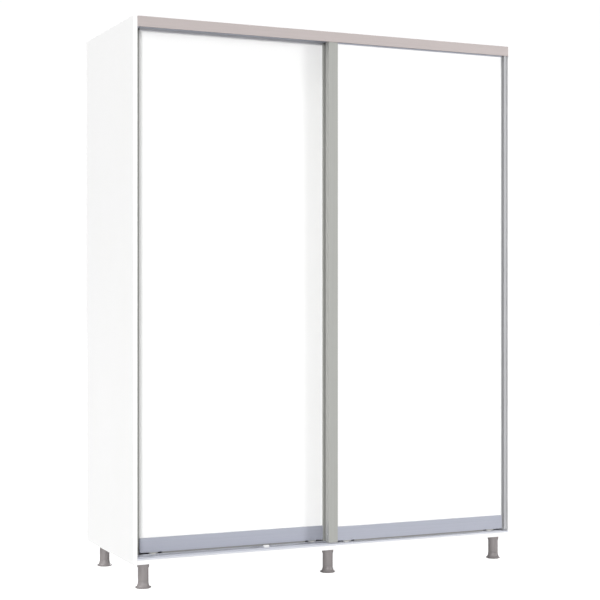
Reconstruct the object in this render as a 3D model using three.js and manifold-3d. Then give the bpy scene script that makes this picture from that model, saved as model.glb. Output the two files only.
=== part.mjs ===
// Sliding door wardrobe: a white board carcass on six round legs, closed by two framed doors that
// roll on a double bottom track. Millimetres, +Z up. The origin is on the floor, under the middle
// of the wardrobe. X runs from left to right, the doors face -Y.
import * as THREE from 'three';
import { mergeVertices } from 'three/addons/utils/BufferGeometryUtils.js';
import Module from 'manifold-3d';

const wasm = await Module();
wasm.setup();

// ---- Driving dimensions -------------------------------------------------------------------------

const WIDTH = 1600;
const DEPTH = 600;
const HEIGHT = 2074;
const LEG_HEIGHT = 94;
const BOARD = 16; // thickness of every structural board
const GAP = 0.3; // between faces that touch

// Back: two thin leaves in a rebate of the side panels, joined by a flat strip.
const BACK_SHEET = 3;
const BACK_STRIP = { width: 30, thickness: 1.2 };
const REBATE_WIDTH = 8;
const BACK_INSET_Z = 2; // leaves stop short of the carcass edges, top and bottom
const LEAF_HALF_GAP = 0.5;

// Interior fittings, all behind the doors.
const INTERIOR_FRONT = 105; // from the carcass front
const SHELF_FRONT = 125;
const SHELF_BACK_CLEARANCE = 6;
const RIGHT_SHELF_COUNT = 4;
const HAT_SHELF_TOP = 1760;
const HANGING_RAIL = { height: 30, width: 15, wall: 1.2, drop: 62, depth: 350 };
const RAIL_SOCKET = { height: 42, width: 27, length: 12 };

// Head of the door opening.
const FASCIA = { height: 38, thickness: 1.8, flange: 12, flangeDrop: 17.2 };
const TOP_TRACK = { web: 2, wall: 1.6, depth: 18, back: 90 };
const TRACK_PLAY = { frontDoorBack: 3, backDoorFront: 1, backDoorBack: 2 }; // doors to track walls

// Door frames. Depths are measured from the front of the lips and stiles.
const DOOR_FRONT = 3; // front of the front door behind the carcass front
const DOOR_PITCH = 52; // from the front door to the back door
const DOOR_DEPTH = 30;
const DOOR_SIDE_GAP = 1.5;
const OVERLAP_WIDTH = 37;
const GRIP_WIDTH = 25;
const STILE_BOTTOM = 11; // above the base panel
const STILE_TOP = 8; // below the top panel
const STILE_WALL = 2.2;
const STILE_SLOT = 12; // how far the panel goes into the overlap stile
const GRIP_SLOT = 10; // and into the grip stile
const PANEL = 10;
const PANEL_PLAY = 0.5; // at the bottom of each slot
const RAIL_SETBACK = 4; // rails behind the front of the stiles
const RAIL_WALL = 2;
const BOTTOM_RAIL = { bottom: 16, height: 53, slot: 12, deck: 17 };
const TOP_RAIL = { height: 18, slot: 10, deck: 13 };

// Grip stile, measured from its edge on the panel side.
const GRIP = { lipStart: 7.5, lipEnd: 18.5, lip: 2.2, floor: 7.6, backFlange: 2.1, shoulder: 5 };

// Running gear.
const BOTTOM_TRACK = { plate: 2, lip: 6, rib: 7.7, front: 1.2, back: 92, wall: 2 };
const WHEEL = { root: 11.7, flange: 14, width: 9, groove: 3, bore: 3.4 };
const AXLE_RADIUS = 3;
const ROLLER_INSET = 80; // wheel centre from each end of the door
const HOUSING = { length: 56, cheekLength: 32, cheekBottom: 10.5, slotHalf: 15.5, slotTop: 16 };
const GUIDE = { length: 40, width: 31, thickness: 3.6, inset: 60 };
const TRACK_CLIP = { length: 20, front: 38, back: 50, height: 11, chamfer: 4 };

// Legs: flange and socket under the base panel, tube, and a turning foot.
const LEG = { flange: 33, flangeThickness: 3.5, socket: 22, socketDrop: 18, tube: 19.5, bore: 5.4 };
const FOOT = { radius: 29, height: 24, neck: 19.5, stem: 5, stemTop: 55, rim: 4 };
const LEG_FROM_SIDE = 55;
const LEG_FROM_FRONT = 54;
const LEG_FROM_BACK = 60;

const CHAMFER = 1; // on the edges of wheels, legs and feet
const ROUND_SEGMENTS = 24;
const SMALL_SEGMENTS = 12;

// ---- Derived levels -----------------------------------------------------------------------------

const INNER_HALF = WIDTH / 2 - BOARD;
const BASE_TOP = LEG_HEIGHT + BOARD;
const CEILING = HEIGHT - BOARD;
const BACK_PLANE = DEPTH / 2;
const STRIP_FRONT = BACK_PLANE - BACK_STRIP.thickness;
const LEAF_BACK = STRIP_FRONT - GAP;
const LEAF_FRONT = LEAF_BACK - BACK_SHEET;
const BOARD_BACK = LEAF_FRONT - GAP;
const RAIL_DEPTH = DOOR_DEPTH - 2 * RAIL_SETBACK;
const DOOR_WIDTH = (2 * (INNER_HALF - DOOR_SIDE_GAP) + OVERLAP_WIDTH) / 2;
const SLOT_FRONT = (DOOR_DEPTH - PANEL) / 2 - GAP;
const SLOT_BACK = (DOOR_DEPTH + PANEL) / 2 + GAP;
const STILE_BASE_Z = BASE_TOP + STILE_BOTTOM;
const STILE_TOP_Z = CEILING - STILE_TOP;

const fromFront = (distance) => -DEPTH / 2 + distance;

// ---- Materials ----------------------------------------------------------------------------------

const finish = (color, roughness, metalness = 0) =>
  new THREE.MeshStandardMaterial({ color, roughness, metalness });

const material = {
  board: () => finish(0xf6f6f4, 0.45),
  hardboard: () => finish(0xeceae4, 0.6),
  doorPanel: () => finish(0xf8f8f7, 0.4),
  aluminium: () => finish(0xb3b5b8, 0.35, 0.85),
  legPlastic: () => finish(0x8f8d8c, 0.5),
  nylon: () => finish(0xdcdad4, 0.5),
  chrome: () => finish(0xc8cacc, 0.12, 1),
  steel: () => finish(0x9a9c9e, 0.3, 1),
};

// ---- Building helpers ---------------------------------------------------------------------------

function addMesh(parent, name, geometry, mat, position = [0, 0, 0]) {
  const mesh = new THREE.Mesh(geometry, mat);
  mesh.name = name;
  mesh.position.set(...position);
  parent.add(mesh);
  return mesh;
}

/** A box between two limits on each axis; the limits may come in either order. */
function addBox(parent, name, mat, xs, ys, zs) {
  const limits = [xs, ys, zs];
  const size = limits.map(([a, b]) => Math.abs(b - a));
  const centre = limits.map(([a, b]) => (a + b) / 2);
  return addMesh(parent, name, new THREE.BoxGeometry(...size), mat, centre);
}

/** A closed shape from its corners, always counter-clockwise. */
function outline(points) {
  const corners = points.map(([a, b]) => new THREE.Vector2(a, b));
  if (THREE.ShapeUtils.isClockWise(corners)) corners.reverse();
  return new THREE.Shape(corners);
}

function rectangle([a0, a1], [b0, b1]) {
  return [[a0, b0], [a1, b0], [a1, b1], [a0, b1]];
}

/** An oval with two straight sides, standing upright in its own plane. */
function stadium(width, height) {
  const shape = new THREE.Shape();
  const radius = width / 2;
  const straight = height / 2 - radius;
  shape.absarc(0, straight, radius, 0, Math.PI);
  shape.absarc(0, -straight, radius, Math.PI, 2 * Math.PI);
  return shape;
}

function prism(shape, length) {
  return new THREE.ExtrudeGeometry(shape, { depth: length, bevelEnabled: false, curveSegments: 10 });
}

/** Extrudes an outline given in X and Y upwards from z0 to z1. */
function uprightPrism(shape, z0, z1) {
  return prism(shape, z1 - z0).translate(0, 0, z0);
}

/** Extrudes an outline given in Y and Z along X, from x0 to x1. */
function lyingPrism(shape, x0, x1) {
  const axes = new THREE.Matrix4().makeBasis(
    new THREE.Vector3(0, 1, 0),
    new THREE.Vector3(0, 0, 1),
    new THREE.Vector3(1, 0, 0),
  );
  return prism(shape, Math.abs(x1 - x0)).applyMatrix4(axes).translate(Math.min(x0, x1), 0, 0);
}

/** Turns [radius, height] pairs into a solid of revolution about Y. */
function turned(profile, segments = ROUND_SEGMENTS) {
  return new THREE.LatheGeometry(profile.map(([r, h]) => new THREE.Vector2(r, h)), segments);
}

function toSolid(geometry) {
  const bare = geometry.clone();
  bare.deleteAttribute('normal');
  bare.deleteAttribute('uv');
  const merged = mergeVertices(bare);
  return new wasm.Manifold(new wasm.Mesh({
    numProp: 3,
    vertProperties: new Float32Array(merged.attributes.position.array),
    triVerts: new Uint32Array(merged.index.array),
  }));
}

function toGeometry(solid) {
  const mesh = solid.getMesh();
  const geometry = new THREE.BufferGeometry();
  geometry.setAttribute('position', new THREE.BufferAttribute(mesh.vertProperties, 3));
  geometry.setIndex(new THREE.BufferAttribute(mesh.triVerts, 1));
  geometry.computeVertexNormals();
  return geometry;
}

function boxSolid([x0, x1], [y0, y1], [z0, z1]) {
  const box = new THREE.BoxGeometry(x1 - x0, y1 - y0, z1 - z0);
  return toSolid(box.translate((x0 + x1) / 2, (y0 + y1) / 2, (z0 + z1) / 2));
}

// ---- Carcass ------------------------------------------------------------------------------------

function addSidePanel(parent, name, outward) {
  const outer = outward * WIDTH / 2;
  const inner = outward * INNER_HALF;
  const rebate = outward * (INNER_HALF + REBATE_WIDTH);
  const section = outline([
    [outer, fromFront(0)],
    [outer, BACK_PLANE],
    [rebate, BACK_PLANE],
    [rebate, BOARD_BACK],
    [inner, BOARD_BACK],
    [inner, fromFront(0)],
  ]);
  addMesh(parent, name, uprightPrism(section, LEG_HEIGHT, HEIGHT), material.board());
}

function addCarcass(parent) {
  const between = [-INNER_HALF + GAP, INNER_HALF - GAP];
  addSidePanel(parent, 'side_panel_left', -1);
  addSidePanel(parent, 'side_panel_right', 1);
  addBox(parent, 'top_panel', material.board(), between,
    [fromFront(FASCIA.thickness + GAP), BOARD_BACK], [CEILING, HEIGHT]);
  addBox(parent, 'base_panel', material.board(), between,
    [fromFront(0), BOARD_BACK], [LEG_HEIGHT, BASE_TOP]);
  addBox(parent, 'centre_partition', material.board(), [-BOARD / 2, BOARD / 2],
    [fromFront(INTERIOR_FRONT), BOARD_BACK], [BASE_TOP + GAP, CEILING - GAP]);
}

function addBack(parent) {
  const leafEdge = INNER_HALF + REBATE_WIDTH - GAP;
  const heights = [LEG_HEIGHT + BACK_INSET_Z, HEIGHT - BACK_INSET_Z];
  for (const [side, outward] of [['left', -1], ['right', 1]]) {
    addBox(parent, `back_panel_${side}`, material.hardboard(),
      [outward * LEAF_HALF_GAP, outward * leafEdge], [LEAF_FRONT, LEAF_BACK], heights);
  }
  addBox(parent, 'back_joint_strip', material.nylon(),
    [-BACK_STRIP.width / 2, BACK_STRIP.width / 2], [STRIP_FRONT, BACK_PLANE], heights);
}

// ---- Interior -----------------------------------------------------------------------------------

function addShelf(parent, name, xs, top) {
  addBox(parent, name, material.board(), xs,
    [fromFront(SHELF_FRONT), BOARD_BACK - SHELF_BACK_CLEARANCE], [top - BOARD, top]);
}

function addHangingRail(parent, left, right) {
  const depth = fromFront(HANGING_RAIL.depth);
  const level = HAT_SHELF_TOP - BOARD - HANGING_RAIL.drop;
  const tube = stadium(HANGING_RAIL.width, HANGING_RAIL.height);
  tube.holes.push(stadium(
    HANGING_RAIL.width - 2 * HANGING_RAIL.wall,
    HANGING_RAIL.height - 2 * HANGING_RAIL.wall,
  ));
  addMesh(parent, 'hanging_rail', lyingPrism(tube, left + GAP, right - GAP),
    material.chrome(), [0, depth, level]);

  const socket = stadium(RAIL_SOCKET.width, RAIL_SOCKET.height);
  socket.holes.push(stadium(HANGING_RAIL.width + 2 * GAP, HANGING_RAIL.height + 2 * GAP));
  const ends = [['left', left], ['right', right - RAIL_SOCKET.length]];
  for (const [side, start] of ends) {
    addMesh(parent, `rail_socket_${side}`, lyingPrism(socket, start, start + RAIL_SOCKET.length),
      material.chrome(), [0, depth, level]);
  }
}

function addInterior(parent) {
  const leftBay = [-INNER_HALF + GAP, -BOARD / 2 - GAP];
  const rightBay = [BOARD / 2 + GAP, INNER_HALF - GAP];
  addShelf(parent, 'hat_shelf', leftBay, HAT_SHELF_TOP);
  addHangingRail(parent, ...leftBay);

  const spacing = (CEILING - BASE_TOP - RIGHT_SHELF_COUNT * BOARD) / (RIGHT_SHELF_COUNT + 1);
  for (let i = 1; i <= RIGHT_SHELF_COUNT; i += 1) {
    addShelf(parent, `shelf_${i}`, rightBay, BASE_TOP + i * (spacing + BOARD));
  }
}

// ---- Tracks -------------------------------------------------------------------------------------

/** Depth of the middle plane of the front door (0) or of the back door (1). */
const lane = (index) => DOOR_FRONT + DOOR_DEPTH / 2 + index * DOOR_PITCH;

function addHead(parent) {
  const ends = [-INNER_HALF + GAP, INNER_HALF - GAP];
  const flangeTop = HEIGHT - FASCIA.flangeDrop;
  const webTop = CEILING - GAP;
  const webBottom = webTop - TOP_TRACK.web;
  const fascia = outline([
    [fromFront(0), HEIGHT - FASCIA.height],
    [fromFront(FASCIA.thickness), HEIGHT - FASCIA.height],
    [fromFront(FASCIA.thickness), flangeTop - FASCIA.thickness],
    [fromFront(FASCIA.flange), flangeTop - FASCIA.thickness],
    [fromFront(FASCIA.flange), flangeTop],
    [fromFront(FASCIA.thickness), flangeTop],
    [fromFront(FASCIA.thickness), HEIGHT],
    [fromFront(0), HEIGHT],
  ]);
  addMesh(parent, 'top_fascia', lyingPrism(fascia, ...ends), material.aluminium());

  // Three walls hang from the web. With the fascia they make one channel for each door.
  const wallBottom = webTop - TOP_TRACK.depth;
  const wallStarts = [
    lane(0) + DOOR_DEPTH / 2 + TRACK_PLAY.frontDoorBack,
    lane(1) - DOOR_DEPTH / 2 - TRACK_PLAY.backDoorFront - TOP_TRACK.wall,
    lane(1) + DOOR_DEPTH / 2 + TRACK_PLAY.backDoorBack,
  ];
  const points = [[fromFront(FASCIA.flange + GAP), webTop], [fromFront(FASCIA.flange + GAP), webBottom]];
  for (const start of wallStarts) {
    const [near, far] = [fromFront(start), fromFront(start + TOP_TRACK.wall)];
    points.push([near, webBottom], [near, wallBottom], [far, wallBottom], [far, webBottom]);
  }
  points.push([fromFront(TOP_TRACK.back), webBottom], [fromFront(TOP_TRACK.back), webTop]);
  addMesh(parent, 'top_track', lyingPrism(outline(points), ...ends), material.aluminium());
}

function addBottomTrack(parent) {
  const bottom = BASE_TOP + GAP;
  const deck = bottom + BOTTOM_TRACK.plate;
  const half = BOTTOM_TRACK.wall / 2;
  const uprights = [
    [BOTTOM_TRACK.front + half, BOTTOM_TRACK.lip],
    [lane(0), BOTTOM_TRACK.rib],
    [(lane(0) + lane(1)) / 2, BOTTOM_TRACK.lip],
    [lane(1), BOTTOM_TRACK.rib],
    [BOTTOM_TRACK.back - half, BOTTOM_TRACK.lip],
  ];
  const points = [];
  for (const [centre, height] of uprights) {
    const [near, far] = [fromFront(centre - half), fromFront(centre + half)];
    points.push([near, deck], [near, bottom + height], [far, bottom + height], [far, deck]);
  }
  // The first and last uprights rise straight from the underside.
  points[0][1] = bottom;
  points[points.length - 1][1] = bottom;
  const track = outline(points);
  addMesh(parent, 'bottom_track', lyingPrism(track, -INNER_HALF + GAP, INNER_HALF - GAP),
    material.aluminium());
}

/** Small clips astride the middle lip, at the thirds of the track. */
function addTrackClips(parent) {
  const floor = BASE_TOP + GAP + BOTTOM_TRACK.plate + GAP;
  const top = floor + TRACK_CLIP.height;
  const middle = (lane(0) + lane(1)) / 2;
  const notch = BOTTOM_TRACK.wall / 2 + GAP;
  const notchTop = BASE_TOP + GAP + BOTTOM_TRACK.lip + GAP;
  const section = outline([
    [fromFront(TRACK_CLIP.front), floor],
    [fromFront(middle - notch), floor],
    [fromFront(middle - notch), notchTop],
    [fromFront(middle + notch), notchTop],
    [fromFront(middle + notch), floor],
    [fromFront(TRACK_CLIP.back), floor],
    [fromFront(TRACK_CLIP.back), top - TRACK_CLIP.chamfer],
    [fromFront(TRACK_CLIP.back - TRACK_CLIP.chamfer), top],
    [fromFront(TRACK_CLIP.front + TRACK_CLIP.chamfer), top],
    [fromFront(TRACK_CLIP.front), top - TRACK_CLIP.chamfer],
  ]);
  for (const [side, outward] of [['left', -1], ['right', 1]]) {
    const start = outward * INNER_HALF / 3 - TRACK_CLIP.length / 2;
    addMesh(parent, `track_clip_${side}`, lyingPrism(section, start, start + TRACK_CLIP.length),
      material.nylon());
  }
}

// ---- Doors --------------------------------------------------------------------------------------
// A door is built in its own frame: x = 0 at its meeting edge and growing to its outer edge in the
// direction `outward`, y = 0 at the front of its stiles, z = 0 at the floor.

function addOverlapStile(door, prefix, outward) {
  const x = (value) => outward * value;
  const slotStart = OVERLAP_WIDTH - STILE_SLOT;
  const section = outline([
    [x(0), 0],
    [x(OVERLAP_WIDTH), 0],
    [x(OVERLAP_WIDTH), SLOT_FRONT],
    [x(slotStart), SLOT_FRONT],
    [x(slotStart), SLOT_BACK],
    [x(OVERLAP_WIDTH), SLOT_BACK],
    [x(OVERLAP_WIDTH), DOOR_DEPTH],
    [x(0), DOOR_DEPTH],
  ]);
  section.holes.push(outline(rectangle(
    [x(STILE_WALL), x(slotStart - STILE_WALL)],
    [STILE_WALL, DOOR_DEPTH - STILE_WALL],
  )));
  addMesh(door, `${prefix}_overlap_stile`, uprightPrism(section, STILE_BASE_Z, STILE_TOP_Z),
    material.aluminium());
}

/** The outer stile. Its lip hooks back over a finger groove beside the panel. */
function addGripStile(door, prefix, outward) {
  const x = (value) => outward * (DOOR_WIDTH - GRIP_WIDTH + value);
  const webStart = GRIP.lipEnd - GRIP.lip;
  const section = outline([
    [x(0), GRIP.floor],
    [x(0), SLOT_FRONT],
    [x(GRIP_SLOT), SLOT_FRONT],
    [x(GRIP_SLOT), SLOT_BACK],
    [x(0), SLOT_BACK],
    [x(0), SLOT_BACK + GRIP.backFlange],
    [x(GRIP_SLOT), SLOT_BACK + GRIP.backFlange],
    [x(GRIP_SLOT), DOOR_DEPTH],
    [x(GRIP_WIDTH), DOOR_DEPTH],
    [x(GRIP_WIDTH), GRIP.shoulder],
    [x(GRIP.lipEnd), GRIP.shoulder],
    [x(GRIP.lipEnd), 0],
    [x(GRIP.lipStart), 0],
    [x(GRIP.lipStart), GRIP.lip],
    [x(webStart), GRIP.lip],
    [x(webStart), GRIP.floor],
  ]);
  section.holes.push(outline(rectangle(
    [x(GRIP_SLOT + STILE_WALL), x(GRIP_WIDTH - STILE_WALL)],
    [GRIP.floor + STILE_WALL, DOOR_DEPTH - STILE_WALL],
  )));
  addMesh(door, `${prefix}_grip_stile`, uprightPrism(section, STILE_BASE_Z, STILE_TOP_Z),
    material.aluminium());
}

/**
 * A rail of H section. One side holds the panel, the other is a channel for the running gear.
 * `direction` is 1 where the panel stands on the rail and -1 where it hangs into it.
 */
function railSection(openEdge, panelEdge, slot, deck, direction) {
  const front = RAIL_SETBACK;
  const back = DOOR_DEPTH - RAIL_SETBACK;
  const slotEnd = panelEdge - direction * slot;
  const deckEnd = panelEdge - direction * deck;
  return outline([
    [front, openEdge],
    [front, panelEdge],
    [SLOT_FRONT, panelEdge],
    [SLOT_FRONT, slotEnd],
    [SLOT_BACK, slotEnd],
    [SLOT_BACK, panelEdge],
    [back, panelEdge],
    [back, openEdge],
    [back - RAIL_WALL, openEdge],
    [back - RAIL_WALL, deckEnd],
    [front + RAIL_WALL, deckEnd],
    [front + RAIL_WALL, openEdge],
  ]);
}

function addDoorFrame(door, prefix, outward) {
  const railStart = outward * (OVERLAP_WIDTH + GAP);
  const railEnd = outward * (DOOR_WIDTH - GRIP_WIDTH - GAP);
  const lowEdge = BASE_TOP + BOTTOM_RAIL.bottom;
  const lowPanel = lowEdge + BOTTOM_RAIL.height;
  const highPanel = STILE_TOP_Z - TOP_RAIL.height;

  addOverlapStile(door, prefix, outward);
  addGripStile(door, prefix, outward);
  addMesh(door, `${prefix}_bottom_rail`, lyingPrism(
    railSection(lowEdge, lowPanel, BOTTOM_RAIL.slot, BOTTOM_RAIL.deck, 1), railStart, railEnd,
  ), material.aluminium());
  addMesh(door, `${prefix}_top_rail`, lyingPrism(
    railSection(STILE_TOP_Z, highPanel, TOP_RAIL.slot, TOP_RAIL.deck, -1), railStart, railEnd,
  ), material.aluminium());
  addBox(door, `${prefix}_panel`, material.doorPanel(),
    [outward * (OVERLAP_WIDTH - STILE_SLOT + PANEL_PLAY),
      outward * (DOOR_WIDTH - GRIP_WIDTH + GRIP_SLOT - PANEL_PLAY)],
    [SLOT_FRONT + GAP, SLOT_BACK - GAP],
    [lowPanel - BOTTOM_RAIL.slot + PANEL_PLAY, highPanel + TOP_RAIL.slot - PANEL_PLAY]);
}

/** Nylon shoe in the top rail whose wings run between the walls of the top track. */
function addGuide(door, name, centre) {
  const channelHalf = RAIL_DEPTH / 2 - RAIL_WALL - GAP;
  const seat = STILE_TOP_Z - TOP_RAIL.height + TOP_RAIL.deck + GAP;
  const wing = STILE_TOP_Z + GAP;
  const top = wing + GUIDE.thickness;
  const section = outline([
    [-channelHalf, seat],
    [channelHalf, seat],
    [channelHalf, wing],
    [GUIDE.width / 2, wing],
    [GUIDE.width / 2, top],
    [-GUIDE.width / 2, top],
    [-GUIDE.width / 2, wing],
    [-channelHalf, wing],
  ]);
  const half = GUIDE.length / 2;
  addMesh(door, name, lyingPrism(section, -half, half), material.nylon(),
    [centre, DOOR_DEPTH / 2, 0]);
}

const RIB_TOP = BASE_TOP + GAP + BOTTOM_TRACK.rib;
const AXLE_Z = RIB_TOP + GAP + WHEEL.root;

/** Housing clipped into the bottom rail, with a slot for its wheel, and the axle across it. */
function addRoller(door, prefix, centre) {
  const channelHalf = RAIL_DEPTH / 2 - RAIL_WALL - GAP;
  const slotHalf = WHEEL.width / 2 + 2 * GAP;
  const railBottom = BASE_TOP + BOTTOM_RAIL.bottom;
  const roof = railBottom + BOTTOM_RAIL.height - BOTTOM_RAIL.deck - GAP;
  const across = [-channelHalf, channelHalf];
  const block = boxSolid([-HOUSING.length / 2, HOUSING.length / 2], across, [railBottom, roof]);
  const cheeks = boxSolid([-HOUSING.cheekLength / 2, HOUSING.cheekLength / 2], across,
    [BASE_TOP + HOUSING.cheekBottom, railBottom + BOARD]);
  const slot = boxSolid([-HOUSING.slotHalf, HOUSING.slotHalf], [-slotHalf, slotHalf],
    [BASE_TOP, AXLE_Z + HOUSING.slotTop]);
  const hole = toSolid(new THREE.CylinderGeometry(
    AXLE_RADIUS + GAP, AXLE_RADIUS + GAP, 2 * DOOR_DEPTH, SMALL_SEGMENTS,
  ).translate(0, 0, AXLE_Z));
  const housing = block.add(cheeks).subtract(slot).subtract(hole);
  const position = [centre, DOOR_DEPTH / 2, 0];
  addMesh(door, `${prefix}_roller_housing`, toGeometry(housing), material.nylon(), position);

  const axleLength = 2 * channelHalf - 2 * GAP;
  addMesh(door, `${prefix}_axle`,
    new THREE.CylinderGeometry(AXLE_RADIUS, AXLE_RADIUS, axleLength, SMALL_SEGMENTS),
    material.steel(), [centre, DOOR_DEPTH / 2, AXLE_Z]);

  const half = WHEEL.width / 2;
  const groove = WHEEL.groove / 2;
  const wheel = turned([
    [WHEEL.bore, -half],
    [WHEEL.flange - CHAMFER, -half],
    [WHEEL.flange, -half + CHAMFER],
    [WHEEL.flange, -groove - CHAMFER],
    [WHEEL.root, -groove],
    [WHEEL.root, groove],
    [WHEEL.flange, groove + CHAMFER],
    [WHEEL.flange, half - CHAMFER],
    [WHEEL.flange - CHAMFER, half],
    [WHEEL.bore, half],
    [WHEEL.bore, -half],
  ]);
  addMesh(door, `${prefix}_wheel`, wheel, material.nylon(), [centre, DOOR_DEPTH / 2, AXLE_Z]);
}

function addDoor(parent, side, outward, track) {
  const prefix = `${side}_door`;
  const door = new THREE.Group();
  door.position.set(-outward * OVERLAP_WIDTH / 2, fromFront(DOOR_FRONT + track * DOOR_PITCH), 0);
  parent.add(door);
  addDoorFrame(door, prefix, outward);
  for (const [end, distance] of [['inner', (inset) => inset], ['outer', (inset) => DOOR_WIDTH - inset]]) {
    addGuide(door, `${prefix}_${end}_guide`, outward * distance(GUIDE.inset));
    addRoller(door, `${prefix}_${end}`, outward * distance(ROLLER_INSET));
  }
}

// ---- Legs ---------------------------------------------------------------------------------------

function addLeg(parent, place, x, y) {
  const top = LEG_HEIGHT - GAP;
  const flangeBottom = top - LEG.flangeThickness;
  const socketBottom = top - LEG.socketDrop;
  const tubeBottom = FOOT.height + GAP;
  const boreTop = FOOT.stemTop + GAP;
  const tube = turned([
    [0, boreTop],
    [LEG.bore, boreTop],
    [LEG.bore, tubeBottom],
    [LEG.tube, tubeBottom],
    [LEG.tube, socketBottom],
    [LEG.socket - CHAMFER, socketBottom],
    [LEG.socket, socketBottom + CHAMFER],
    [LEG.socket, flangeBottom],
    [LEG.flange - CHAMFER, flangeBottom],
    [LEG.flange, flangeBottom + CHAMFER],
    [LEG.flange, top],
    [0, top],
  ]);
  tube.rotateX(Math.PI / 2);
  addMesh(parent, `leg_${place}`, tube, material.legPlastic(), [x, y, 0]);

  // The foot widens along a quarter ellipse from its neck to its rim.
  const flare = [];
  const steps = 5;
  for (let i = 0; i <= steps; i += 1) {
    const angle = (i / steps) * (Math.PI / 2);
    const radius = FOOT.radius - (FOOT.radius - FOOT.neck) * Math.sin(angle);
    const height = FOOT.height - (FOOT.height - FOOT.rim) * Math.cos(angle);
    flare.push([radius, height]);
  }
  const foot = turned([
    [0, 0],
    [FOOT.radius - CHAMFER, 0],
    [FOOT.radius, CHAMFER],
    ...flare,
    [FOOT.stem, FOOT.height],
    [FOOT.stem, FOOT.stemTop],
    [0, FOOT.stemTop],
  ]);
  foot.rotateX(Math.PI / 2);
  addMesh(parent, `foot_${place}`, foot, material.legPlastic(), [x, y, 0]);
}

function addLegs(parent) {
  const across = WIDTH / 2 - LEG_FROM_SIDE;
  const columns = [['left', -across], ['middle', 0], ['right', across]];
  const rows = [['front', fromFront(LEG_FROM_FRONT)], ['back', BACK_PLANE - LEG_FROM_BACK]];
  for (const [row, y] of rows) {
    for (const [column, x] of columns) {
      addLeg(parent, `${row}_${column}`, x, y);
    }
  }
}

// ---- Assembly -----------------------------------------------------------------------------------

const wardrobe = new THREE.Group();
wardrobe.name = 'sliding_door_wardrobe';
addCarcass(wardrobe);
addBack(wardrobe);
addInterior(wardrobe);
addHead(wardrobe);
addBottomTrack(wardrobe);
addTrackClips(wardrobe);
addDoor(wardrobe, 'left', -1, 1);
addDoor(wardrobe, 'right', 1, 0);
addLegs(wardrobe);

export default wardrobe;
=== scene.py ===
"""Looks of a sliding door wardrobe: white boards, satin aluminium door frames, grey plastic legs."""

import math
import random

import bmesh
import bpy
from mathutils import Matrix, Vector


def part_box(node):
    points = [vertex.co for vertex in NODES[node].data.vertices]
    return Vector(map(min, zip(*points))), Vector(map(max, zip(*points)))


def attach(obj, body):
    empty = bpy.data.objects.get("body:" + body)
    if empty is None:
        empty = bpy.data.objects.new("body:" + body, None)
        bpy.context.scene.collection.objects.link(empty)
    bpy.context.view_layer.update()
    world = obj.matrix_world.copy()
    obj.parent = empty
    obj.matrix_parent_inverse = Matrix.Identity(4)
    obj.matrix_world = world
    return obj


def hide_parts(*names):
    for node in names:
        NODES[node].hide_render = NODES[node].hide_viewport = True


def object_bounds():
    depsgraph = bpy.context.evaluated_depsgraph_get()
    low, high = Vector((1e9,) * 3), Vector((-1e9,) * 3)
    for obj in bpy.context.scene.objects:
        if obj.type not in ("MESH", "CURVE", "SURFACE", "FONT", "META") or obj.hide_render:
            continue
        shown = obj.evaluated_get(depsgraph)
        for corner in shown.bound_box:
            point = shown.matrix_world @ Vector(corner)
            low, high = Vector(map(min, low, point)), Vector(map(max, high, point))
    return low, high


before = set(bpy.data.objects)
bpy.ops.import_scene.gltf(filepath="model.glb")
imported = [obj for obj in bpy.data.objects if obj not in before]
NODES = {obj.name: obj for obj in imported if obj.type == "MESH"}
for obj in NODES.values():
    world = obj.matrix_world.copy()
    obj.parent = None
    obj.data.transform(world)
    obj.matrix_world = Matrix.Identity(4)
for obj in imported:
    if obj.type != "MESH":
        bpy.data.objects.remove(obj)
CAD_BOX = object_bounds()
MM = 0.001

# ---- Places, all from the frame ------------------------------------------------------------------

GROUND = CAD_BOX[0].z
BASE_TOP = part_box("base_panel")[1].z
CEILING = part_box("top_panel")[0].z
INNER_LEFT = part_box("side_panel_left")[1].x
INNER_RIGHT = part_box("side_panel_right")[0].x
DOORS = {"left": -1, "right": 1}
ROLLERS = [f"{side}_door_{end}" for side in DOORS for end in ("inner", "outer")]
LEG_ROWS = ("front", "back")
LEG_COLUMNS = ("left", "middle", "right")
LEG_PLACES = [f"{row}_{column}" for row in LEG_ROWS for column in LEG_COLUMNS]


def centre_of(node):
    low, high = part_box(node)
    return (low + high) / 2


# ---- Node graph helpers --------------------------------------------------------------------------


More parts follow.
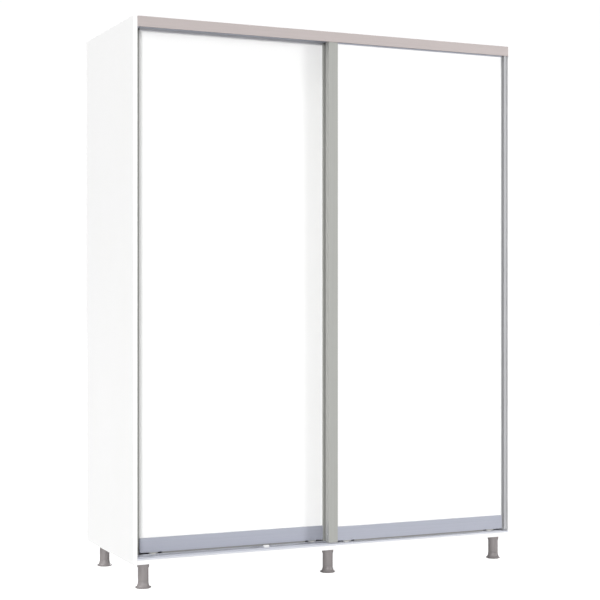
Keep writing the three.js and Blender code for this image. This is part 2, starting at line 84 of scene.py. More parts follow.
class Graph:
    """A material's node tree, with short calls for the few nodes that the finishes use."""

    def __init__(self, name):
        self.material = bpy.data.materials.new(name)
        self.material.use_nodes = True
        self.tree = self.material.node_tree
        self.tree.nodes.clear()
        self.shader = self.tree.nodes.new("ShaderNodeBsdfPrincipled")
        output = self.tree.nodes.new("ShaderNodeOutputMaterial")
        self.link(self.shader.outputs["BSDF"], output.inputs["Surface"])
        coordinates = self.tree.nodes.new("ShaderNodeTexCoord")
        self.place = coordinates.outputs["Object"]

    def link(self, source, target):
        self.tree.links.new(source, target)

    def set(self, **values):
        for name, value in values.items():
            self.shader.inputs[name.replace("_", " ")].default_value = value

    def colour(self, source):
        self.link(source, self.shader.inputs["Base Color"])

    def roughness(self, source):
        self.link(source, self.shader.inputs["Roughness"])

    def stretched(self, scale):
        """Object coordinates in metres, multiplied axis by axis."""
        node = self.tree.nodes.new("ShaderNodeMapping")
        node.inputs["Scale"].default_value = scale
        self.link(self.place, node.inputs["Vector"])
        return node.outputs["Vector"]

    def noise(self, scale, detail=4.0, roughness=0.55, vector=None):
        node = self.tree.nodes.new("ShaderNodeTexNoise")
        node.inputs["Scale"].default_value = scale
        node.inputs["Detail"].default_value = detail
        node.inputs["Roughness"].default_value = roughness
        self.link(vector or self.place, node.inputs["Vector"])
        return node.outputs["Fac"]

    def ranged(self, value, low, high, out_low, out_high):
        node = self.tree.nodes.new("ShaderNodeMapRange")
        limits = {"From Min": low, "From Max": high, "To Min": out_low, "To Max": out_high}
        for name, number in limits.items():
            node.inputs[name].default_value = number
        self.link(value, node.inputs["Value"])
        return node.outputs["Result"]

    def add(self, first, second):
        node = self.tree.nodes.new("ShaderNodeMath")
        self.link(first, node.inputs[0])
        self.link(second, node.inputs[1])
        return node.outputs["Value"]

    def mix(self, factor, first, second):
        node = self.tree.nodes.new("ShaderNodeMix")
        node.data_type = "RGBA"
        ends = {"Factor": factor, "A": first, "B": second}
        for name, value in ends.items():
            socket = next(s for s in node.inputs if s.name == name and s.enabled)
            if isinstance(value, (int, float, tuple)):
                socket.default_value = value
            else:
                self.link(value, socket)
        return next(s for s in node.outputs if s.enabled)

    def edges(self, radius):
        """1 on edges, 0 on flat faces; the aluminium paints a highlight there, the plastic a lighter
        rubbed wear.
        """
        bevel = self.tree.nodes.new("ShaderNodeBevel")
        bevel.samples = 4
        bevel.inputs["Radius"].default_value = radius
        geometry = self.tree.nodes.new("ShaderNodeNewGeometry")
        dot = self.tree.nodes.new("ShaderNodeVectorMath")
        dot.operation = "DOT_PRODUCT"
        self.link(bevel.outputs["Normal"], dot.inputs[0])
        self.link(geometry.outputs["Normal"], dot.inputs[1])
        return self.ranged(dot.outputs["Value"], 0.99, 0.85, 0.0, 1.0)

    def bump(self, *layers):
        """Each layer is a height and its depth in metres; they add up."""
        previous = None
        for height, depth in layers:
            node = self.tree.nodes.new("ShaderNodeBump")
            node.inputs["Distance"].default_value = depth
            self.link(height, node.inputs["Height"])
            if previous:
                self.link(previous, node.inputs["Normal"])
            previous = node.outputs["Normal"]
        self.link(previous, self.shader.inputs["Normal"])


def tint(value, red=1.0, green=1.0, blue=1.0):
    return (min(1.0, value * red), min(1.0, value * green), min(1.0, value * blue), 1.0)


# ---- Finishes ------------------------------------------------------------------------------------


def white_melamine(name, base, roughness):
    """Pressed white melamine: fine orange peel, faint cloudiness and a few rubbed patches."""
    g = Graph(name)
    cloud = g.noise(3.0, 5.0, 0.6)
    peel = g.noise(900.0, 2.0)
    rubbed = g.noise(30.0, 6.0, 0.7, g.stretched((1.0, 1.0, 0.3)))
    g.colour(g.mix(g.ranged(cloud, 0.35, 0.65, 0.0, 1.0), tint(base), tint(base * 0.985, blue=0.995)))
    g.roughness(g.add(g.ranged(cloud, 0.3, 0.7, roughness - 0.03, roughness + 0.03),
                      g.ranged(rubbed, 0.55, 0.8, 0.0, 0.08)))
    g.bump((peel, 0.02 * MM), (g.noise(120.0, 3.0), 0.02 * MM))
    g.set(Specular_IOR_Level=0.3)
    return g.material


def hardboard(name):
    """Thin lacquered board, with the pressed fibre showing through the lacquer."""
    g = Graph(name)
    fibre = g.noise(700.0, 3.0, 0.6)
    blotch = g.noise(8.0, 5.0)
    g.colour(g.mix(blotch, tint(0.84, blue=0.97), tint(0.79, blue=0.95)))
    g.roughness(g.ranged(fibre, 0.3, 0.7, 0.5, 0.68))
    g.bump((fibre, 0.06 * MM))
    return g.material


def aluminium(name, base, along, roughness, **hue):
    """Satin anodised extrusion: fine die lines along its length and a painted highlight on its corners.
    """
    g = Graph(name)
    across = {"x": (2.0, 1500.0, 1500.0), "z": (1500.0, 1500.0, 2.0)}[along]
    die = g.noise(1.0, 3.0, 0.6, g.stretched(across))
    cloud = g.noise(6.0)
    shade = g.mix(g.ranged(die, 0.35, 0.65, 0.0, 1.0), tint(base, **hue), tint(base * 0.94, **hue))
    # Edges painted a quarter brighter than the faces: a painted highlight.
    g.colour(g.mix(g.edges(0.7 * MM), shade, tint(base * 1.25, **hue)))
    g.roughness(g.add(g.ranged(die, 0.3, 0.7, roughness - 0.05, roughness + 0.06),
                      g.ranged(cloud, 0.4, 0.7, 0.0, 0.05)))
    g.bump((die, 0.012 * MM))
    g.set(Metallic=0.6)
    return g.material


def moulded_plastic(name, base, roughness, **hue):
    """Injection-moulded plastic: fine spark texture, faint flow marks and rubbed edges."""
    g = Graph(name)
    spark = g.noise(1400.0, 2.0)
    flow = g.noise(25.0, 4.0, 0.5, g.stretched((1.0, 1.0, 0.2)))
    shade = g.mix(g.ranged(flow, 0.35, 0.65, 0.0, 1.0), tint(base, **hue), tint(base * 0.93, **hue))
    g.colour(g.mix(g.edges(0.8 * MM), shade, tint(base * 1.15, **hue)))
    g.roughness(g.ranged(spark, 0.3, 0.7, roughness - 0.06, roughness + 0.08))
    g.bump((spark, 0.03 * MM))
    return g.material


def polished_metal(name, base, roughness):
    """Plated metal with faint smears."""
    g = Graph(name)
    smear = g.noise(14.0, 5.0, 0.6, g.stretched((0.4, 1.0, 1.0)))
    g.colour(g.mix(smear, tint(base), tint(base * 0.94)))
    g.roughness(g.ranged(smear, 0.3, 0.7, roughness, roughness + 0.08))
    g.bump((g.noise(600.0, 2.0), 0.004 * MM))
    g.set(Metallic=1.0)
    return g.material


def pile(name, base):
    """Brush pile: fine hairs across the strip."""
    g = Graph(name)
    hairs = g.noise(2600.0, 2.0, 0.7)
    g.colour(g.mix(g.ranged(hairs, 0.3, 0.7, 0.0, 1.0), tint(base), tint(base * 0.45)))
    g.roughness(g.ranged(hairs, 0.3, 0.7, 0.85, 0.98))
    g.bump((hairs, 0.3 * MM))
    g.set(Specular_IOR_Level=0.15)
    return g.material


FINISH = {
    "board": white_melamine("board_white", 0.87, 0.42),
    "door_board": white_melamine("door_white", 0.89, 0.36),
    "hardboard": hardboard("back_board"),
    "fascia": aluminium("fascia_aluminium", 0.475, "x", 0.57, red=1.11, blue=0.98),
    "track": aluminium("track_aluminium", 0.7, "x", 0.55, red=0.98, blue=1.08),
    "stile": aluminium("stile_aluminium", 0.42, "z", 0.57, green=1.01, blue=0.96),
    # A lighter copy of the stile aluminium for the right door's grip stile: a painted highlight down its
    # lip.
    "grip": aluminium("grip_aluminium_painted_highlight", 0.46, "z", 0.52, red=0.99, blue=1.03),
    "rail": aluminium("rail_aluminium", 0.455, "x", 0.57, red=0.965, blue=1.15),
    # A much lighter copy of the aluminium for the left door's top rail: painted light over the fascia's
    # shadow on it.
    "top_rail": aluminium("top_rail_aluminium_painted_light", 0.78, "x", 0.55, blue=1.04),
    "leg": moulded_plastic("leg_plastic", 0.24, 0.42, red=1.09, blue=1.0),
    "nylon": moulded_plastic("nylon", 0.72, 0.42, red=1.01, blue=0.96),
    "grey_nylon": moulded_plastic("grey_nylon", 0.36, 0.5),
    # Dark plastic for the strip under the bottom rails: a painted shade for the gap there.
    "gap_shade_lip": moulded_plastic("gap_shade_lip", 0.23, 0.6),
    "white_plastic": moulded_plastic("white_plastic", 0.8, 0.4),
    "rubber": moulded_plastic("rubber", 0.06, 0.7),
    "chrome": polished_metal("chrome", 0.82, 0.07),
    "steel": polished_metal("steel", 0.6, 0.25),
    "pile": pile("brush_pile", 0.6),
}

# The first rule that a node's name meets gives its finish.
RULES = (
    ("hanging_rail", "chrome"),
    ("rail_socket", "chrome"),
    ("_axle", "steel"),
    ("guide", "nylon"),
    ("roller_housing", "grey_nylon"),
    ("_wheel", "nylon"),
    ("track_clip", "white_plastic"),
    ("back_joint_strip", "white_plastic"),
    ("top_fascia", "fascia"),
    ("_track", "track"),
    ("left_door_grip_stile", "stile"),
    # The right door's grip stile takes the lighter copy, a painted highlight.
    ("grip_stile", "grip"),
    ("stile", "stile"),
    # The left door's top rail takes the lighter copy, painted light against the fascia's shadow.
    ("left_door_top_rail", "top_rail"),
    ("_rail", "rail"),
    ("back_panel", "hardboard"),
    ("door_panel", "door_board"),
    ("leg_", "leg"),
    ("foot_", "leg"),
    ("", "board"),
)


# ---- CAD nodes: welded, softly bevelled and shaded -----------------------------------------------


def weld_group(sharp_angle):
    """Geometry nodes that weld the faceted mesh and shade it smooth, but for its sharp edges."""
    group = bpy.data.node_groups.new("weld_and_shade", "GeometryNodeTree")
    for direction in ("INPUT", "OUTPUT"):
        group.interface.new_socket("Geometry", in_out=direction, socket_type="NodeSocketGeometry")
    source = group.nodes.new("NodeGroupInput")
    weld = group.nodes.new("GeometryNodeMergeByDistance")
    weld.inputs["Distance"].default_value = 0.01 * MM
    normals = group.nodes.new("GeometryNodeSetMeshNormal")
    normals.mode = "SHARPNESS"
    angle = group.nodes.new("GeometryNodeInputMeshEdgeAngle")
    is_sharp = group.nodes.new("FunctionNodeCompare")
    is_sharp.operation = "GREATER_THAN"
    is_sharp.inputs["B"].default_value = sharp_angle
    result = group.nodes.new("NodeGroupOutput")
    group.links.new(source.outputs[0], weld.inputs["Geometry"])
    group.links.new(weld.outputs["Geometry"], normals.inputs["Mesh"])
    group.links.new(angle.outputs["Unsigned Angle"], is_sharp.inputs["A"])
    group.links.new(is_sharp.outputs["Result"], normals.inputs["Edge Sharpness"])
    group.links.new(normals.outputs["Mesh"], result.inputs[0])
    return group


def dress_nodes():
    welded = weld_group(math.radians(35))
    edge_radius = {"board": 0.6, "door_board": 0.4, "hardboard": 0.3}
    for name, node in NODES.items():
        finish = next(value for part, value in RULES if part in name)
        for material_slot in node.material_slots:
            material_slot.material = FINISH[finish]
        node.modifiers.new("weld", "NODES").node_group = welded
        flatten = node.modifiers.new("flatten", "DECIMATE")
        flatten.decimate_type = "DISSOLVE"
        flatten.angle_limit = math.radians(0.5)
        bevel = node.modifiers.new("soft_edges", "BEVEL")
        bevel.width = edge_radius.get(finish, 0.25) * MM
        bevel.segments = 2
        bevel.limit_method = "ANGLE"
        bevel.angle_limit = math.radians(50)
        bevel.harden_normals = True


# ---- Mesh tools for new pieces -------------------------------------------------------------------

# Each matrix says where a shape's local Z points.
UP = Matrix.Identity(3)
DOWN = Matrix.Rotation(math.pi, 3, "X")
RIGHT = Matrix(((0, 0, 1), (1, 0, 0), (0, 1, 0)))
LEFT = Matrix.Rotation(math.pi, 3, "Z") @ RIGHT
FORWARD = Matrix(((1, 0, 0), (0, 0, -1), (0, 1, 0)))
BACKWARD = Matrix.Rotation(math.pi, 3, "Z") @ FORWARD


class Piece:
    """One new object, gathered from turned, extruded and mirrored shapes."""

    def __init__(self, name):
        self.name = name
        self.mesh = bmesh.new()

    def _ring(self, points):
        return [self.mesh.verts.new(point) for point in points]

    def _bridge(self, low, high):
        count = len(low)
        if count == 1 and len(high) == 1:
            return
        for i in range(max(count, len(high))):
            j = (i + 1) % max(count, len(high))
            corners = [low[i % count], low[j % count], high[j % len(high)], high[i % len(high)]]
            self.mesh.faces.new(list(dict.fromkeys(corners)))

    def turn(self, profile, place, axes=UP, segments=48, recess=()):
        """Turns (radius, height) pairs about local Z; the rows in `recess` make a cross."""
        rings = []
        for row, (radius, height) in enumerate(profile):
            points = []
            for i in range(segments if radius > 0 else 1):
                angle = 2 * math.pi * i / segments
                reach = radius * (0.3 + 0.7 * abs(math.cos(2 * angle)) ** 2) if row in recess else radius
                local = Vector((reach * math.cos(angle), reach * math.sin(angle), height))
                points.append(axes @ local + Vector(place))
            rings.append(self._ring(points))
        for low, high in zip(rings, rings[1:]):
            self._bridge(low, high)
        for ring in (rings[0], rings[-1]):
            if len(ring) > 1 and profile[0] != profile[-1]:
                self.mesh.faces.new(ring)

    def extrude(self, section, start, end, axes=UP, place=(0, 0, 0)):
        """A section in local X and Y, closed, from start to end along local Z."""
        rings = []
        for height in (start, end):
            rings.append(self._ring(axes @ Vector((a, b, height)) + Vector(place) for a, b in section))
        self._bridge(*rings)
        for ring in rings:
            self.mesh.faces.new(ring)

    def finish(self, body, slot, finish, replaces=(), sharp=40.0):
        bmesh.ops.remove_doubles(self.mesh, verts=self.mesh.verts, dist=0.001 * MM)
        bmesh.ops.recalc_face_normals(self.mesh, faces=self.mesh.faces)
        for face in self.mesh.faces:
            face.smooth = True
        for edge in self.mesh.edges:
            edge.smooth = len(edge.link_faces) < 2 or edge.calc_face_angle(0.0) < math.radians(sharp)
        data = bpy.data.meshes.new(self.name)
        self.mesh.to_mesh(data)
        self.mesh.free()
        data.materials.append(FINISH[finish])
        piece = bpy.data.objects.new(self.name, data)
        bpy.context.scene.collection.objects.link(piece)
        if replaces:
            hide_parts(*replaces)
        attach(piece, body)
        return piece


def fillet(corner, radius, start, end, steps=4):
    """Points of a round corner, by angle in degrees."""
    points = []
    for i in range(steps + 1):
        angle = math.radians(start + (end - start) * i / steps)
        points.append((corner[0] + radius * math.cos(angle), corner[1] + radius * math.sin(angle)))
    return points


# Each screw head's radius and height.
LEG_SCREW = (3.4 * MM, 1.5 * MM)
FRAME_SCREW = (3.4 * MM, 0.9 * MM)
LOW_TRACK_SCREW = (3.2 * MM, 0.7 * MM)
HIGH_TRACK_SCREW = (3.4 * MM, 1 * MM)
SOCKET_SCREW = (2.2 * MM, 0.9 * MM)


def screw_head(piece, place, axes, size):
    """A domed head with a cross recess, standing on `place` along local Z."""
    radius, height = size
    profile = [(radius, 0.0), (radius, height * 0.35)]
    profile += [(radius * 0.88, height * 0.75), (radius * 0.62, height)]
    profile += [(radius * 0.55, height), (radius * 0.4, height * 0.35), (0.0, height * 0.3)]
    piece.turn(profile, place, axes, segments=32, recess=(4, 5))


# ---- Legs and feet -------------------------------------------------------------------------------

SOCKET_RADIUS = 22 * MM
SOCKET_DROP = 18 * MM
FLANGE_THICKNESS = 3.5 * MM
TUBE_RADIUS = 19.5 * MM
TUBE_BORE = 5.4 * MM
STEM_RADIUS = 5 * MM
STEM_TOP = 55 * MM
FOOT_RIM = 4 * MM
SOLE_THICKNESS = 1.2 * MM
SOLE_INSET = 2.2 * MM


def add_leg(place):
    low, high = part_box(f"leg_{place}")
    axis = Vector(((low.x + high.x) / 2, (low.y + high.y) / 2, 0.0))
    flange = (high.x - low.x) / 2
    top = high.z
    flange_low = top - FLANGE_THICKNESS
    socket_low = top - SOCKET_DROP
    groove = 0.5 * MM
    profile = [(0.0, STEM_TOP + 0.3 * MM), (TUBE_BORE, STEM_TOP + 0.3 * MM), (TUBE_BORE, low.z)]
    profile += fillet((TUBE_RADIUS - groove, low.z + groove), groove, -90, 0)
    profile += [(TUBE_RADIUS, socket_low - groove), (TUBE_RADIUS - groove, socket_low)]
    profile += fillet((SOCKET_RADIUS - 1 * MM, socket_low + 1 * MM), 1 * MM, -90, 0)
    cove = 2 * MM
    profile += [(SOCKET_RADIUS, flange_low - cove)]
    for angle in map(math.radians, (20, 45, 70, 90)):
        profile.append((SOCKET_RADIUS + cove - cove * math.cos(angle),
                        flange_low - cove + cove * math.sin(angle)))
    profile += fillet((flange - 1 * MM, flange_low + 1 * MM), 1 * MM, -90, 0)
    profile += [(flange, top), (0.0, top)]
    leg = Piece(f"leg_{place}_turned")
    leg.turn(profile, axis, segments=72)
    leg.finish("carcass", "leg_plastic", "leg", [f"leg_{place}"])

    screws = Piece(f"leg_{place}_screws")
    reach = (SOCKET_RADIUS + flange) / 2 + 0.8 * MM
    for quarter in range(4):
        angle = math.radians(45 + 90 * quarter)
        spot = axis + Vector((reach * math.cos(angle), reach * math.sin(angle), flange_low))
        screw_head(screws, spot, DOWN, LEG_SCREW)
    screws.finish("carcass", "bright_steel", "steel")


def add_foot(place):
    low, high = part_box(f"foot_{place}")
    axis = Vector(((low.x + high.x) / 2, (low.y + high.y) / 2, 0.0))
    radius = (high.x - low.x) / 2
    neck_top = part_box(f"leg_{place}")[0].z - 0.3 * MM
    pad = SOLE_THICKNESS
    profile = [(0.0, pad), (radius - 2 * MM, pad), (radius - 0.8 * MM, pad)]
    profile += [(radius, pad + 0.8 * MM)]
    for i in range(17):
        angle = math.radians(90 * i / 16)
        profile.append((radius - (radius - TUBE_RADIUS) * math.sin(angle),
                        neck_top - 0.5 * MM - (neck_top - 0.5 * MM - FOOT_RIM) * math.cos(angle)))
    profile += [(TUBE_RADIUS - 0.5 * MM, neck_top), (STEM_RADIUS, neck_top)]
    profile += [(STEM_RADIUS, STEM_TOP - 1 * MM), (STEM_RADIUS - 1 * MM, STEM_TOP), (0.0, STEM_TOP)]
    foot = Piece(f"foot_{place}_turned")
    foot.turn(profile, axis, segments=72)
    foot.finish(f"foot_{place}", "leg_plastic", "leg", [f"foot_{place}"])

    sole = Piece(f"foot_{place}_sole")
    reach = radius - SOLE_INSET
    edge = 0.4 * MM
    outline = [(0.0, low.z), (reach - edge, low.z), (reach, low.z + edge), (reach, pad), (0.0, pad)]
    sole.turn(outline, axis, segments=72)
    sole.finish(f"foot_{place}", "leg_plastic", "rubber")


# ---- Running gear --------------------------------------------------------------------------------

WHEEL_ROOT = 11.7 * MM
WHEEL_BORE = 3.4 * MM
GROOVE_HALF = 1.5 * MM


def add_wheel(roller):
    node = f"{roller}_wheel"
    low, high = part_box(node)
    hub = (low + high) / 2
    half = (high.y - low.y) / 2
    rim = (high.z - low.z) / 2
    web = half - 1.6 * MM
    outer_side = [(WHEEL_BORE, half - 0.3 * MM), (5.4 * MM, half - 0.3 * MM), (5.8 * MM, web)]
    outer_side += [(9.2 * MM, web), (9.8 * MM, half)]
    outer_side += fillet((rim - 0.8 * MM, half - 0.8 * MM), 0.8 * MM, 90, 0)
    groove = [(rim, GROOVE_HALF + 1 * MM)]
    groove += [(WHEEL_ROOT + 0.5 * MM, GROOVE_HALF + 0.2 * MM), (WHEEL_ROOT, GROOVE_HALF - 0.3 * MM)]
    right = outer_side + groove
    left = [(radius, -height) for radius, height in reversed(right)]
    wheel = Piece(f"{node}_turned")
    wheel.turn(right + left + right[:1], hub, FORWARD, segments=64)
    wheel.finish(node, "nylon", "nylon", [node])

    pin_low, pin_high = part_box(f"{roller}_axle")
    reach = (pin_high.y - pin_low.y) / 2
    radius = (pin_high.z - pin_low.z) / 2
    pin = Piece(f"{roller}_axle_turned")
    pin.turn([(0.0, -reach), (radius - 0.5 * MM, -reach), (radius, -reach + 0.5 * MM),
              (radius, reach - 0.5 * MM), (radius - 0.5 * MM, reach), (0.0, reach)],
             (pin_low + pin_high) / 2, FORWARD, segments=32)
    pin.finish(roller.rsplit("_", 1)[0], "bright_steel", "steel", [f"{roller}_axle"])


# ---- Door details --------------------------------------------------------------------------------

BRUSH_PITCH = 2.5 * MM
BRUSH_DEPTH = 5 * MM
SIDE_BRUSH_DEPTH = 1.2 * MM
BEAD = 1.1 * MM


def brush_strip(name, body, backing, tip, x_range, z_range, seed):
    """A pile strip up a stile: backing at y = backing, ragged tips near y = tip."""
    draw = random.Random(seed)
    piece = Piece(name)
    rows = int((z_range[1] - z_range[0]) / BRUSH_PITCH)
    x0, x1 = x_range
    depth = tip - backing
    rings = []
    for row in range(rows + 1):
        z = z_range[0] + (z_range[1] - z_range[0]) * row / rows
        sway = draw.uniform(-0.08, 0.08) * (x1 - x0)
        reach = backing + depth * draw.uniform(0.86, 1.0)
        middle = (x0 + x1) / 2 + sway
        spread = 0.3 * (x1 - x0)
        rings.append(piece._ring([
            (x0, backing, z), (x0, backing + 0.2 * depth, z), (middle - spread, reach, z),
            (middle + spread, reach, z), (x1, backing + 0.2 * depth, z), (x1, backing, z),
        ]))
    for low, high in zip(rings, rings[1:]):
        piece._bridge(low, high)
    piece.mesh.faces.new(rings[0])
    piece.mesh.faces.new(rings[-1])
    piece.finish(body, "nylon", "pile", sharp=180.0)


def side_brush(name, body, backing, tip, y_range, z_range, seed):
    """The same strip turned to face sideways, for the gap beside the side panel."""
    draw = random.Random(seed)
    piece = Piece(name)
    rows = int((z_range[1] - z_range[0]) / BRUSH_PITCH)
    y0, y1 = y_range
    rings = []
    for row in range(rows + 1):
        z = z_range[0] + (z_range[1] - z_range[0]) * row / rows
        reach = backing + (tip - backing) * draw.uniform(0.8, 1.0)
        inset = 0.2 * (y1 - y0)
        rings.append(piece._ring([
            (backing, y0, z), (reach, y0 + inset, z), (reach, y1 - inset, z), (backing, y1, z),
        ]))
    for low, high in zip(rings, rings[1:]):
        piece._bridge(low, high)
    piece.mesh.faces.new(rings[0])
    piece.mesh.faces.new(rings[-1])
    piece.finish(body, "nylon", "pile", sharp=180.0)


def add_door_details(side, outward, seed):
    body = f"{side}_door"
    meeting_low, meeting_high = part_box(f"{body}_overlap_stile")
    grip_low, grip_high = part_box(f"{body}_grip_stile")
    panel_low, panel_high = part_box(f"{body}_panel")
    low_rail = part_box(f"{body}_bottom_rail")
    high_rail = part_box(f"{body}_top_rail")
    free_edge = meeting_low.x if outward > 0 else meeting_high.x
    outer_edge = grip_high.x if outward > 0 else grip_low.x
    heights = (meeting_low.z + 1 * MM, meeting_high.z - 1 * MM)

    # The front door's pile faces back, the back door's faces forward.
    facing_back = side == "right"
    backing = meeting_high.y if facing_back else meeting_low.y
    reach = BRUSH_DEPTH if facing_back else -BRUSH_DEPTH
    edges = sorted((free_edge + outward * 4 * MM, free_edge + outward * 11 * MM))
    brush_strip(f"{body}_meeting_brush", body, backing, backing + reach, edges, heights, seed)
    side_brush(f"{body}_side_brush", body, outer_edge, outer_edge + outward * SIDE_BRUSH_DEPTH,
               (grip_high.y - 13 * MM, grip_high.y - 7 * MM), heights, seed + 1)

    # Assembly screws through the stiles into both rails.
    screws = Piece(f"{body}_frame_screws")
    middle_y = (grip_low.y + grip_high.y) / 2
    for rail in (low_rail, high_rail):
        level = (rail[0].z + rail[1].z) / 2
        for edge, direction in ((outer_edge, outward), (free_edge, -outward)):
            axes = RIGHT if direction > 0 else LEFT
            screw_head(screws, (edge, middle_y - 4 * MM, level), axes, FRAME_SCREW)
    screws.finish(body, "bright_steel", "steel")

    # Thin beads that seal the panel in its frame, front and back.
    seal = Piece(f"{body}_panel_seal")
    inner_edge = meeting_high.x if outward > 0 else meeting_low.x
    grip_edge = grip_low.x if outward > 0 else grip_high.x
    span = sorted((inner_edge + outward * 0.1 * MM, grip_edge - outward * 0.1 * MM))
    z0, z1 = low_rail[1].z, high_rail[0].z
    for face, way in ((panel_low.y, -1), (panel_high.y, 1)):
        corner = face + way * 0.05 * MM
        for level, rise in ((z0 + 0.05 * MM, 1), (z1 - 0.05 * MM, -1)):
            seal.extrude([(corner, level), (corner + way * BEAD, level), (corner, level + rise * BEAD)],
                         span[0], span[1], RIGHT)
        for edge, inward in ((span[0], 1), (span[1], -1)):
            seal.extrude([(edge, corner), (edge, corner + way * BEAD), (edge + inward * BEAD, corner)],
                         z0 + BEAD, z1 - BEAD)
    seal.finish(body, "white_plastic", "white_plastic")

    # A dark grey strip hung from the bottom rail between the rollers: a painted shade standing for the
    # shadowed gap under the rail.
    bays = [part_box(f"{body}_{end}_roller_housing") for end in ("inner", "outer")]
    bays.sort(key=lambda box: box[0].x)
    front, top = low_rail[0].y, low_rail[0].z
    tip = top - 6 * MM
    lip = Piece(f"{body}_gap_shade_lip")
    lip.extrude([(front + 0.3 * MM, top), (front + 1.6 * MM, top),
                 (front + 1.2 * MM, tip), (front + 0.6 * MM, tip)],
                bays[0][1].x + 3 * MM, bays[1][0].x - 3 * MM, RIGHT)
    lip.finish(body, "nylon", "gap_shade_lip")


# ---- Carcass details -----------------------------------------------------------------------------


def add_track_screws():
    """Five screws along each track: down through the bottom one, up through the top one."""
    piece = Piece("track_screws")
    plate_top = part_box("bottom_track")[0].z + 2 * MM
    web_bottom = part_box("top_track")[1].z - 2 * MM
    lanes = (centre_of("right_door_outer_wheel").y, centre_of("left_door_outer_wheel").y)
    low_line = (lanes[0] * 3 + sum(lanes) / 2) / 4
    high_line = sum(lanes) / 2 + 1 * MM
    count = 5
    for i in range(count):
        x = INNER_LEFT + (INNER_RIGHT - INNER_LEFT) * (i + 0.5) / count
        screw_head(piece, (x, low_line, plate_top), UP, LOW_TRACK_SCREW)
        screw_head(piece, (x, high_line, web_bottom), DOWN, HIGH_TRACK_SCREW)
    piece.finish("carcass", "bright_steel", "steel")


def add_socket_screws():
    for side, facing in (("left", 1), ("right", -1)):
        low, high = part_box(f"rail_socket_{side}")
        face = high.x if facing > 0 else low.x
        axes = RIGHT if facing > 0 else LEFT
        piece = Piece(f"rail_socket_{side}_screws")
        for level in (low.z + 2.8 * MM, high.z - 2.8 * MM):
            screw_head(piece, (face, (low.y + high.y) / 2, level), axes, SOCKET_SCREW)
        piece.finish("carcass", "bright_steel", "steel")


def add_shelf_pins():
    """Steel pins with a collar and a flat nose, four under each shelf."""
    pin = [(0.0, 0.1 * MM), (3.6 * MM, 0.1 * MM), (3.6 * MM, 0.8 * MM), (2.5 * MM, 1.0 * MM)]
    pin += [(2.5 * MM, 8.2 * MM), (2.0 * MM, 8.8 * MM), (0.0, 8.8 * MM)]
    shelves = {"hat_shelf": ("side_panel_left", "centre_partition")}
    for number in range(1, 5):
        shelves[f"shelf_{number}"] = ("centre_partition", "side_panel_right")
    for shelf, (left, right) in shelves.items():
        low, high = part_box(shelf)
        walls = ((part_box(left)[1].x, 1), (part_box(right)[0].x, -1))
        level = low.z - 3.7 * MM
        piece = Piece(f"{shelf}_pins")
        for wall, inward in walls:
            axes = RIGHT if inward > 0 else LEFT
            for y in (low.y + 45 * MM, high.y - 45 * MM):
                piece.turn(pin, (wall, y, level), axes, segments=28)
        piece.finish("carcass", "bright_steel", "steel")


def add_cam_caps():
    """Plastic caps over the cam fittings, on the floor and ceiling beside each upright."""
    piece = Piece("cam_caps")
    partition_low, partition_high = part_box("centre_partition")
    uprights = ((INNER_LEFT, 1), (partition_low.x, -1), (partition_high.x, 1), (INNER_RIGHT, -1))
    cap = [(0.0, 0.0), (8.6 * MM, 0.0), (8.6 * MM, 0.5 * MM), (8.0 * MM, 0.9 * MM)]
    cap += [(3.0 * MM, 1.0 * MM), (2.6 * MM, 0.6 * MM), (0.0, 0.6 * MM)]
    for wall, inward in uprights:
        for y in (partition_low.y + 50 * MM, partition_high.y - 60 * MM):
            x = wall + inward * 34 * MM
            piece.turn(cap, (x, y, BASE_TOP), UP, segments=40, recess=(5,))
            piece.turn(cap, (x, y, CEILING), DOWN, segments=40, recess=(5,))
    piece.finish("carcass", "white_plastic", "white_plastic")


def add_back_nails():
    """Round nail heads round the edge of both back leaves."""
    piece = Piece("back_nails")
    head = [(2.4 * MM, 0.0), (2.4 * MM, 0.25 * MM), (1.7 * MM, 0.6 * MM), (0.0, 0.75 * MM)]
    inset = 10 * MM
    pitch = 140 * MM
    for side, outward in DOORS.items():
        low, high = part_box(f"back_panel_{side}")
        across = (low.x + inset, high.x - inset)
        upward = (low.z + inset, high.z - inset)
        rows = round((upward[1] - upward[0]) / pitch)
        columns = round((across[1] - across[0]) / pitch)
        outer = across[0] if outward < 0 else across[1]
        spots = [(outer, upward[0] + (upward[1] - upward[0]) * i / rows) for i in range(rows + 1)]
        for level in upward:
            for i in range(1, columns):
                spots.append((across[0] + (across[1] - across[0]) * i / columns, level))
        for x, z in spots:
            piece.turn(head, (x, high.y, z), BACKWARD, segments=16)
    piece.finish("carcass", "bright_steel", "steel")


# ---- Stage, light and camera ---------------------------------------------------------------------

AMBIENT = 0.32
FLOOR_GLOW = 0.12
SEEN_WORLD = 1.02
SEEN_FLOOR = 0.9
FLOOR_REACH = 40.0

# Heading in degrees to the right of the front, height above the floor, strength, softness.
SUNS = {
    "key": (52, 8, 1.0, 16),
    "front_fill": (-30, 4, 1.85, 10),
    "left_fill": (-80, 50, 2.0, 35),
    "back_fill": (142, 15, 1.4, 30),
}

CAMERA_PLACE = (-2.400, -5.289, 1.049)
CAMERA_HEADING = math.radians(24.355)
CAMERA_LENS = 86.83


def seen_level(tree, lighting, seen):
    """A strength that is `seen` in the picture itself and `lighting` for the light it gives."""
    rays = tree.nodes.new("ShaderNodeLightPath")
    level = tree.nodes.new("ShaderNodeMapRange")
    level.inputs["To Min"].default_value = lighting
    level.inputs["To Max"].default_value = seen
    tree.links.new(rays.outputs["Is Camera Ray"], level.inputs["Value"])
    return level.outputs["Result"]


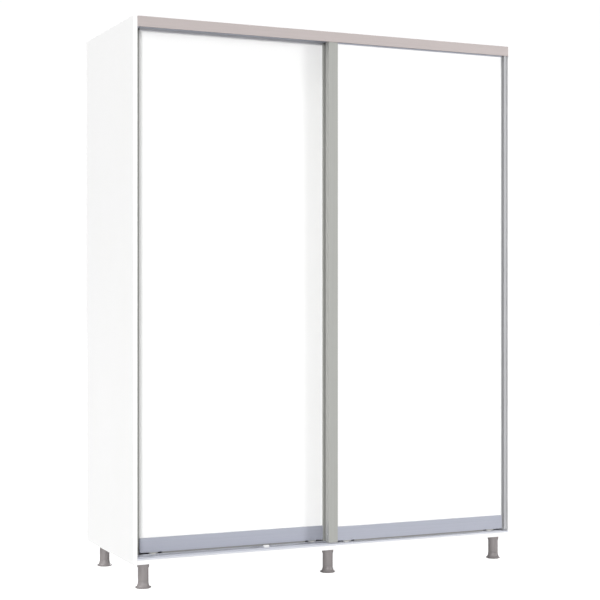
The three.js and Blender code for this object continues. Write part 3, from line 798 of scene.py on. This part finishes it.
def add_floor():
    """A plain pale floor, lit up far enough to be white in the picture."""
    data = bpy.data.meshes.new("floor")
    signs = ((-1, -1), (1, -1), (1, 1), (-1, 1))
    corners = [(a * FLOOR_REACH, b * FLOOR_REACH, GROUND) for a, b in signs]
    data.from_pydata(corners, [], [(0, 1, 2, 3)])
    g = Graph("floor_paint")
    mottle = g.noise(2.0, 3.0)
    g.colour(g.mix(mottle, tint(0.5), tint(0.49)))
    g.set(Roughness=0.9, Specular_IOR_Level=0.1, Emission_Color=tint(1.0))
    g.link(seen_level(g.tree, FLOOR_GLOW, SEEN_FLOOR), g.shader.inputs["Emission Strength"])
    data.materials.append(g.material)
    floor = bpy.data.objects.new("floor", data)
    bpy.context.scene.collection.objects.link(floor)


def add_world():
    """Even white light all round, behind a pure white background."""
    world = bpy.data.worlds.new("studio")
    world.use_nodes = True
    tree = world.node_tree
    background = tree.nodes["Background"]
    tree.links.new(seen_level(tree, AMBIENT, SEEN_WORLD), background.inputs["Strength"])
    background.inputs["Color"].default_value = (1.0, 1.0, 1.0, 1.0)
    bpy.context.scene.world = world


def add_sun(name, heading, height, strength, softness):
    data = bpy.data.lights.new(name, "SUN")
    data.energy = strength
    data.angle = math.radians(softness)
    light = bpy.data.objects.new(name, data)
    bpy.context.scene.collection.objects.link(light)
    turn, lift = math.radians(heading), math.radians(height)
    flat = math.cos(lift)
    source = Vector((math.sin(turn) * flat, -math.cos(turn) * flat, math.sin(lift)))
    light.rotation_euler = source.to_track_quat("Z", "Y").to_euler()


def add_camera():
    """A level camera left of the front, at half the wardrobe's height."""
    data = bpy.data.cameras.new("camera")
    data.sensor_width = 36.0
    data.lens = CAMERA_LENS
    camera = bpy.data.objects.new("camera", data)
    bpy.context.scene.collection.objects.link(camera)
    camera.location = CAMERA_PLACE
    aim = Vector((math.sin(CAMERA_HEADING), math.cos(CAMERA_HEADING), 0.0))
    camera.rotation_euler = aim.to_track_quat("-Z", "Y").to_euler()
    bpy.context.scene.camera = camera


# ---- Assembly ------------------------------------------------------------------------------------

dress_nodes()
for leg_place in LEG_PLACES:
    add_leg(leg_place)
    add_foot(leg_place)
for roller_name in ROLLERS:
    add_wheel(roller_name)
for index, (door_side, door_outward) in enumerate(DOORS.items()):
    add_door_details(door_side, door_outward, 10 * (index + 1))
add_track_screws()
add_socket_screws()
add_shelf_pins()
add_cam_caps()
add_back_nails()

add_floor()
add_world()
for sun_name, sun in SUNS.items():
    add_sun(sun_name, *sun)
add_camera()

view = bpy.context.scene.view_settings
view.view_transform = "Standard"
view.look = "None"
view.exposure = 0.0
view.gamma = 1.0
